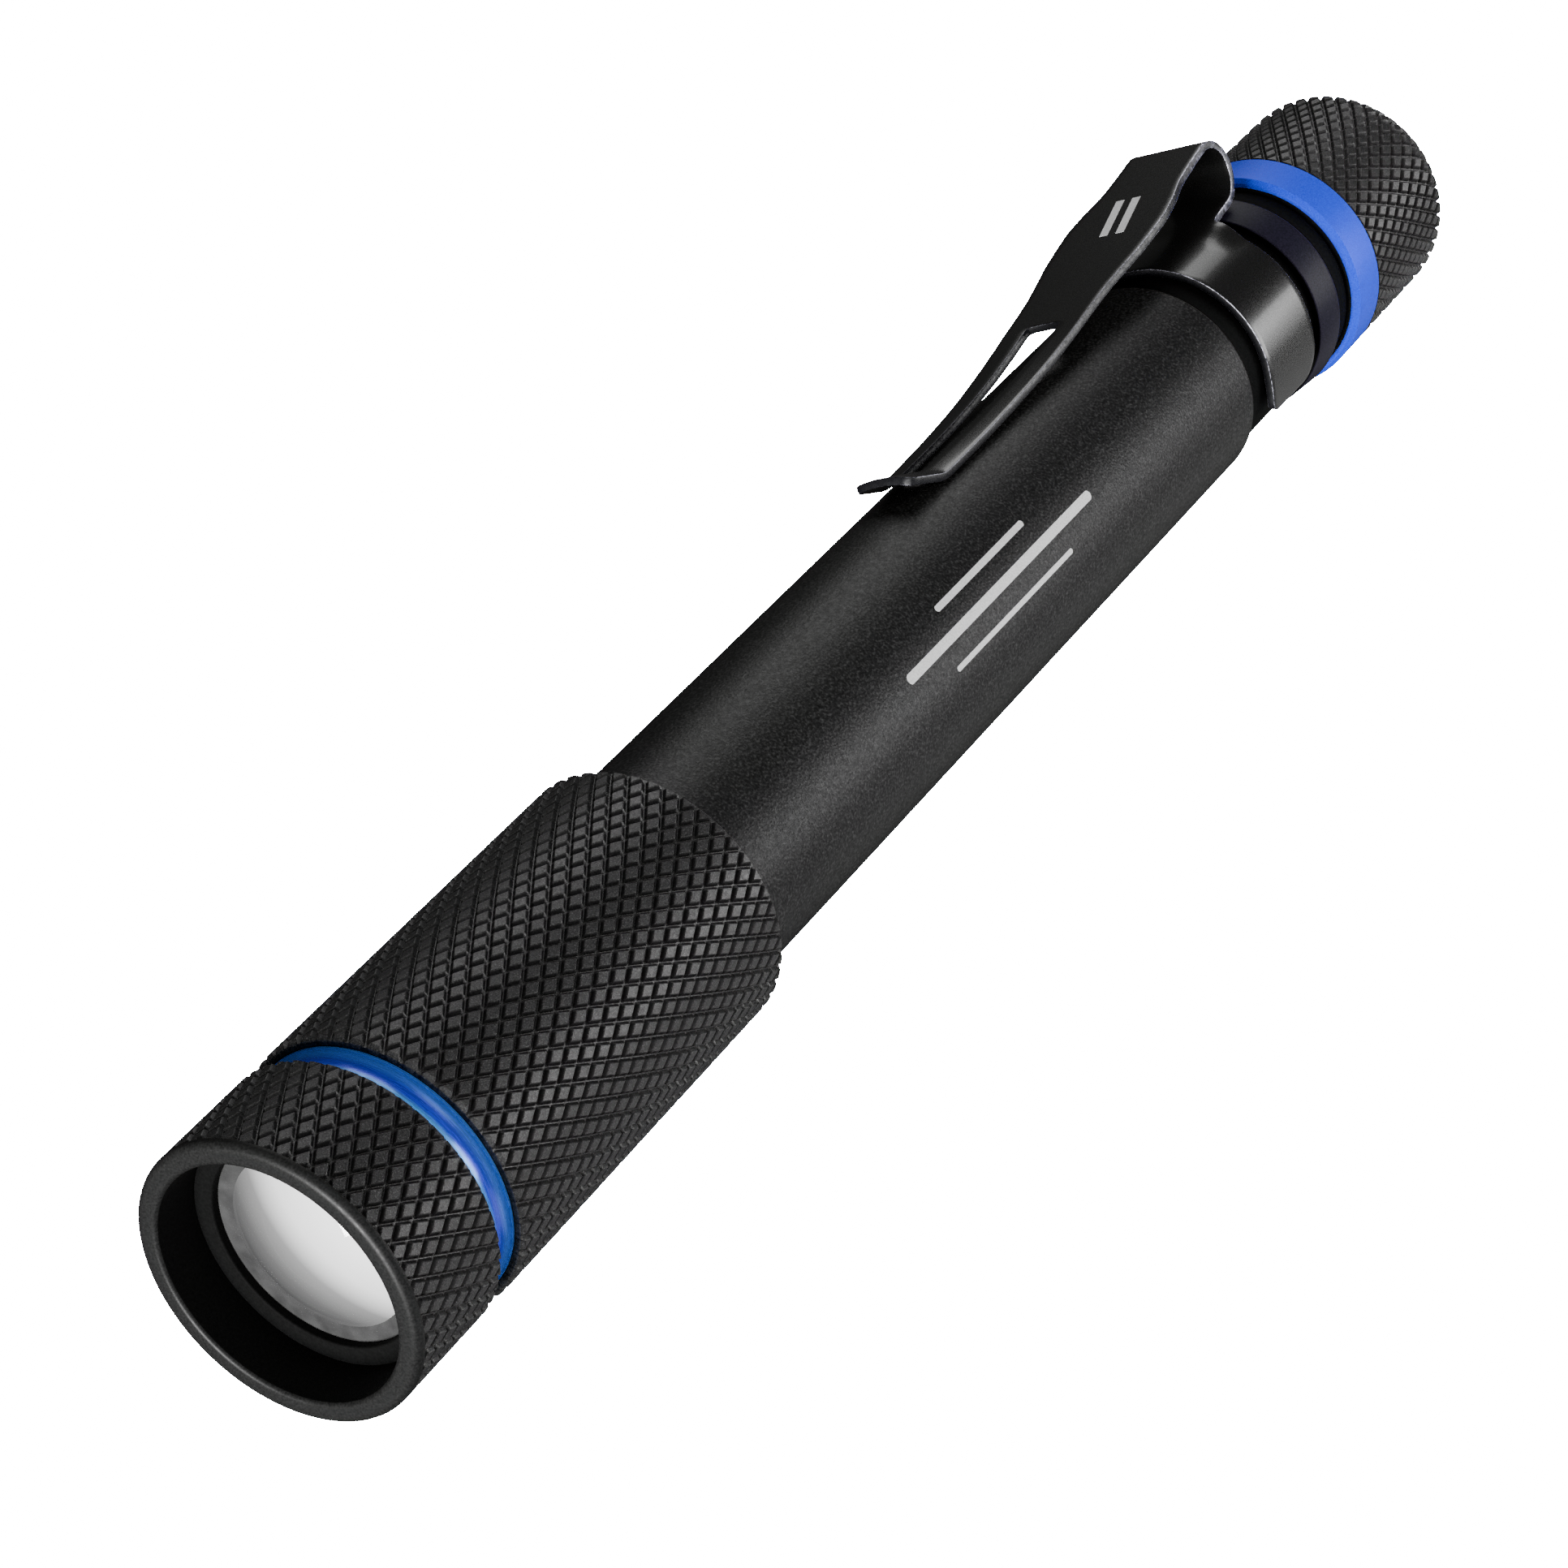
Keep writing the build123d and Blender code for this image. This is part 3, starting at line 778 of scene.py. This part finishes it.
def between(table, x):
    """Straight-line reading of a table of (x, value) rows."""
    for (x0, y0), (x1, y1) in zip(table, table[1:]):
        if x <= x1:
            share = max(0.0, (x - x0) / (x1 - x0))
            return y0 + (y1 - y0) * share
    return table[-1][1]


def ease(x):
    """Smooth step from 0 to 1."""
    x = min(1.0, max(0.0, x))
    return x * x * (3 - 2 * x)


def neck_share(station):
    """How much of the band has become the neck, from 0 to 1."""
    return ease((station - NECK_BEGINS) / NECK_EASE)


def neck_height(station):
    """Height of the sheet's middle over the pen axis, from the band up to the fold."""
    line = FOLD_START[1] + (station - FOLD_START[0]) * NECK_SLOPE
    return BAND_R + (line - BAND_R) * neck_share(station)


def clip_rows():
    """Rows of the strip beyond the band: (station, height, share of the fold that is passed)."""
    rows = []
    for k in range(1, 7):
        station = BAND_REAR + (FOLD_START[0] - BAND_REAR) * k / 6
        rows.append((station, neck_height(station), 0.0))
    heading = math.atan(NECK_SLOPE)
    s, h = FOLD_START
    for size, sweep, steps in CLIP_RUNS:
        turn_by = math.radians(sweep) / steps
        chord = 2 * size * math.sin(abs(turn_by) / 2) if sweep else size / steps
        for k in range(steps):
            s += chord * math.cos(heading + turn_by / 2)
            h += chord * math.sin(heading + turn_by / 2)
            heading += turn_by
            passed = (k + 1) / steps if steps == FOLD_STEPS else 1.0
            rows.append((s, h, passed))
    for stop, _ in SLOT + ARM_PLAN[:3]:
        for i in range(len(rows) - 1, 0, -1):
            (s0, h0, _), (s1, h1, passed) = rows[i - 1], rows[i]
            if passed == 1.0 and s1 < stop < s0:
                share = (s0 - stop) / (s0 - s1)
                rows.insert(i, (stop, h0 + (h1 - h0) * share, 1.0))
                break
    return [r for r in rows if r[2] < 1.0 or r[0] >= ARM_PLAN[0][0] - 1e-6]


def band_columns(bm):
    """Open band, as columns of points from its front edge to its rear edge."""
    angles = [-BAND_END + k * 0.9 for k in range(0, 20)]
    angles += [-105 + k * 3.5 for k in range(0, 18)]
    angles += [-43.5 + k * 2.9 for k in range(0, 6)]
    angles += [-math.degrees(math.asin(NECK_HALF * x / BAND_R)) for x in STRIP_SHARES]
    angles += [-a for a in reversed(angles)]
    across = 14
    grid = []
    for a in angles:
        from_end = math.radians(BAND_END - abs(a)) * BAND_R
        insets = []
        for corner in (BAND_CORNER_FRONT, BAND_CORNER_REAR):
            cut = max(0.0, corner - from_end)
            insets.append(corner - math.sqrt(corner ** 2 - cut ** 2))
        front, rear = BAND_FRONT + insets[0], BAND_REAR - insets[1]
        near = 1 - ease((abs(a) - NECK_ANGLE) / (NECK_SPREAD - NECK_ANGLE))
        column = []
        for k in range(across + 1):
            station = front + (rear - front) * k / across
            radius = BAND_R + (neck_height(station) - BAND_R) * near
            if abs(a) > FACET_FROM:
                flat = 1 / math.cos(math.radians(abs(a) - FACET_FROM)) - 1
                radius += BAND_R * flat * FACET_RISE
            sag = radius * (1 - math.cos(math.radians(a)))
            lift = sag * NECK_FLATNESS * neck_share(station) * near
            side = radius * math.sin(math.radians(a))
            column.append(bm.verts.new(Vector((-station, sag - lift - radius, side)) * MM))
        grid.append(column)
    for a, b in zip(grid, grid[1:]):
        for k in range(across):
            bm.faces.new((a[k], b[k], b[k + 1], a[k + 1]))
    return grid


def pocket_clip():
    """One bent sheet: open band, neck, fold, slotted arm and lifted tip."""
    bm = bmesh.new()
    grid = band_columns(bm)
    middle, side_points = len(grid) // 2, len(STRIP_SHARES)
    previous = [column[-1] for column in grid[middle - side_points:middle + side_points]]
    was_slotted = False
    for station, height, passed in clip_rows():
        on_arm = passed == 1.0
        half = between(ARM_PLAN, station) if on_arm else NECK_HALF
        gap = STRIP_SHARES[-1] * half
        slotted = on_arm and SLOT[0][0] - 1e-6 <= station <= SLOT[-1][0] + 1e-6
        if on_arm:
            away = max(SLOT[0][0] - station, station - SLOT[-1][0], 0)
            inside = between(SLOT, min(max(station, SLOT[0][0]), SLOT[-1][0]))
            gap = inside + (gap - inside) * ease(away / 3)
            sag_share, around = between(ARM_HUG, station), HUG_R
        else:
            flat = NECK_FLATNESS * neck_share(station)
            flat += (1 - flat) * ease(passed * 2)
            sag_share, around = 1 - flat, max(BAND_R, neck_height(min(station, FOLD_START[0])))
        inner_share = STRIP_SHARES[-1]
        widths = [gap + (half - gap) * (x - inner_share) / (1 - inner_share) for x in STRIP_SHARES]
        row = []
        for z in [-w for w in widths] + widths[::-1]:
            sag = (around - math.sqrt(around ** 2 - z * z)) * sag_share
            row.append(bm.verts.new(Vector((-station, sag - height, z)) * MM))
        for k in range(len(row) - 1):
            if not (k == side_points - 1 and slotted and was_slotted):
                bm.faces.new((previous[k], previous[k + 1], row[k + 1], row[k]))
        previous, was_slotted = row, slotted
    finishes = (CLIP, CLIP_EDGE, CLIP_WORN)
    piece = finish_piece("pocket_clip", bm, None, finishes, ("clip_band", "clip_arm"))
    solid = piece.modifiers.new("sheet", "SOLIDIFY")
    solid.thickness = SHEET * MM
    solid.offset = 0
    solid.use_even_offset = True
    solid.material_offset_rim = 1
    eased = piece.modifiers.new("edges", "BEVEL")
    eased.width = 0.045 * MM
    eased.segments = 2
    eased.limit_method = "ANGLE"
    eased.angle_limit = math.radians(50)
    eased.material = 2
    evaluated = piece.evaluated_get(bpy.context.evaluated_depsgraph_get())
    final = bpy.data.meshes.new_from_object(evaluated)
    piece.modifiers.clear()
    piece.data = final
    final.shade_smooth()
    final.set_sharp_from_angle(angle=math.radians(32))
    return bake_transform(piece, "clip_loop", "clip_lever", start=(-0.10864, -0.00765, 0),
                    end=(-0.108605, -0.00836, 0))


# ------------------------------------------------------------------ plain marks
# first and last station, and the angles between which each bar lies
TUBE_BARS = ((59.9, 70.6, 59.4, 62.8), (54.3, 77.0, 72.4, 77.6), (58.5, 72.9, 87.4, 90.2))
# how far a bar stands over its surface and how deep its body goes under it
INK, INK_ROOT = 0.015, 0.05
# the clip's bars: (station, shift sideways) of both ends, half the gap between them, half width
CLIP_BAR_ENDS, CLIP_BAR_APART, CLIP_BAR_HALF = ((98.6, 0.35), (102.9, -0.35)), 0.62, 0.32


def tube_bars():
    """Three plain white bars printed along the barrel."""
    bm = bmesh.new()
    for first, last, low, high in TUBE_BARS:
        half_angle = (high - low) / 2
        corner = math.radians(half_angle) * TUBE_R
        rows = []
        ends = [corner * (1 - math.cos(math.radians(9 * k))) for k in range(10)]
        stations = [first + e for e in ends] + [last - e for e in reversed(ends)]
        for station in stations:
            edge = min(station - first, last - station)
            share = math.sqrt(max(0.0, 1 - (1 - min(1.0, edge / corner)) ** 2))
            share = max(share, 0.02)
            middle = (low + high) / 2
            angles = [math.radians(middle + half_angle * share * x / 3) for x in range(-3, 4)]
            upper = [bm.verts.new(place(station, TUBE_R + INK, a)) for a in angles]
            lower = [bm.verts.new(place(station, TUBE_R - INK_ROOT, a)) for a in reversed(angles)]
            rows.append(upper + lower)
        for a, b in zip(rows, rows[1:]):
            for k in range(len(a)):
                n = (k + 1) % len(a)
                bm.faces.new((a[k], a[n], b[n], b[k]))
        bm.faces.new(rows[0])
        bm.faces.new(rows[-1])
    return finish_piece("barrel_bars", bm, "body", (WHITE,))


def clip_bars():
    """Two plain white bars on the broad part of the clip's arm."""
    bm = bmesh.new()
    square_to_arm = 1 / math.cos(math.atan(LEAF_SLOPE))
    for middle in (-CLIP_BAR_APART, CLIP_BAR_APART):
        verts = []
        for station, lean in CLIP_BAR_ENDS:
            sheet_height = LEAF_TOP[1] - (LEAF_TOP[0] - station) * LEAF_SLOPE
            for lift in (SHEET / 2 - INK_ROOT, SHEET / 2 + INK):
                height = sheet_height + lift * square_to_arm
                for side in (-CLIP_BAR_HALF, CLIP_BAR_HALF):
                    corner = Vector((-station, -height, middle + side + lean)) * MM
                    verts.append(bm.verts.new(corner))
        a, b, c, d, e, f, g, h = verts
        for corners in ((a, b, d, c), (e, g, h, f), (a, e, f, b), (c, d, h, g), (a, c, g, e),
                        (b, f, h, d)):
            bm.faces.new(corners)
    return finish_piece("clip_bars", bm, "clip_lever", (WHITE,))


bezel()
head_sleeve()
head_ring()
lens()
body_tube()
neck_gasket()
tail_cap()
tail_ring()
button_boot()
pocket_clip()
tube_bars()
clip_bars()


# ------------------------------------------------------------------ stage
# the stage and the camera are in metres and degrees
FLOOR_HALF, DOME_R, STAGE_GLOW = 12.0, 10.0, 60.0
CAMERA_AT = (0.12333, -0.08410, 0.15206)
CAMERA_HEADING, CAMERA_PITCH, CAMERA_ROLL = 153.748, -38.380, -82.617


def stage_piece(name, bm):
    """Plain white surface that only the camera sees, so it lights nothing and mirrors nowhere."""
    mesh = bpy.data.meshes.new(name)
    bm.to_mesh(mesh)
    bm.free()
    f = Finish(name + "_white", (0.9, 0.9, 0.9), 0.9, Specular_IOR_Level=0.0)
    f.shader.inputs["Emission Color"].default_value = (1, 1, 1, 1)
    f.shader.inputs["Emission Strength"].default_value = STAGE_GLOW
    mesh.materials.append(f.material)
    piece = bpy.data.objects.new(name, mesh)
    bpy.context.scene.collection.objects.link(piece)
    piece.visible_glossy = piece.visible_diffuse = False
    piece.visible_shadow = piece.visible_transmission = False


def backdrop():
    """Wide floor under the pen and a dome round it."""
    floor = bmesh.new()
    bmesh.ops.create_grid(floor, x_segments=1, y_segments=1, size=FLOOR_HALF,
                          matrix=Matrix.Translation((0, 0, -HEAD_R * MM)))
    stage_piece("floor", floor)
    dome = bmesh.new()
    bmesh.ops.create_uvsphere(dome, u_segments=48, v_segments=24, radius=DOME_R)
    stage_piece("backdrop", dome)


def softbox(name, direction, distance, width, height, power, glossy=True,
            target=(-0.06, 0, 0)):
    """Area light that faces the pen from a direction."""
    light = bpy.data.lights.new(name, "AREA")
    light.shape = "RECTANGLE"
    light.size, light.size_y = width, height
    light.energy = power
    lamp = bpy.data.objects.new(name, light)
    bpy.context.scene.collection.objects.link(lamp)
    way = Vector(direction).normalized()
    lamp.location = Vector(target) + way * distance
    lamp.rotation_mode = "QUATERNION"
    lamp.rotation_quaternion = way.to_track_quat("Z", "Y")
    lamp.visible_glossy = glossy


def studio():
    """Soft boxes round the pen and a faint even light."""
    world = bpy.data.worlds.new("studio")
    world.use_nodes = True
    world.node_tree.nodes["Background"].inputs["Color"].default_value = (1, 1, 1, 1)
    world.node_tree.nodes["Background"].inputs["Strength"].default_value = 0.04
    bpy.context.scene.world = world
    backdrop()
    softbox("sky_fill", (0, 0, 1), 1.5, 2.0, 2.0, 17, glossy=False)
    softbox("key", (-0.70, 0.16, 0.69), 0.5, 0.20, 0.20, 1.6)
    softbox("low_side", (-0.70, -0.68, -0.08), 0.5, 0.22, 0.28, 0.8)
    softbox("far_side", (-0.70, 0.70, 0.13), 0.5, 0.34, 0.30, 0.20)
    softbox("front_card", (0.97, 0.03, 0.06), 0.30, 0.13, 0.13, 4.2, target=(0, 0, 0))
    softbox("side_fill", (0.1, -0.6, 0.8), 0.6, 0.3, 0.3, 0.5)
    softbox("back_fill", (-0.2, 0.75, 0.6), 0.6, 0.4, 0.3, 0.5)


def camera():
    """Long lens above the head end, looking back along the pen."""
    data = bpy.data.cameras.new("camera")
    data.sensor_width = 36
    data.lens = 100.25
    data.clip_start, data.clip_end = 0.01, 40
    view = bpy.data.objects.new("camera", data)
    view.matrix_world = (
        Matrix.Translation(CAMERA_AT)
        @ Matrix.Rotation(math.radians(CAMERA_HEADING - 90), 4, "Z")
        @ Matrix.Rotation(math.radians(CAMERA_PITCH + 90), 4, "X")
        @ Matrix.Rotation(math.radians(-CAMERA_ROLL), 4, "Z")
    )
    bpy.context.scene.collection.objects.link(view)
    bpy.context.scene.camera = view


studio()
camera()
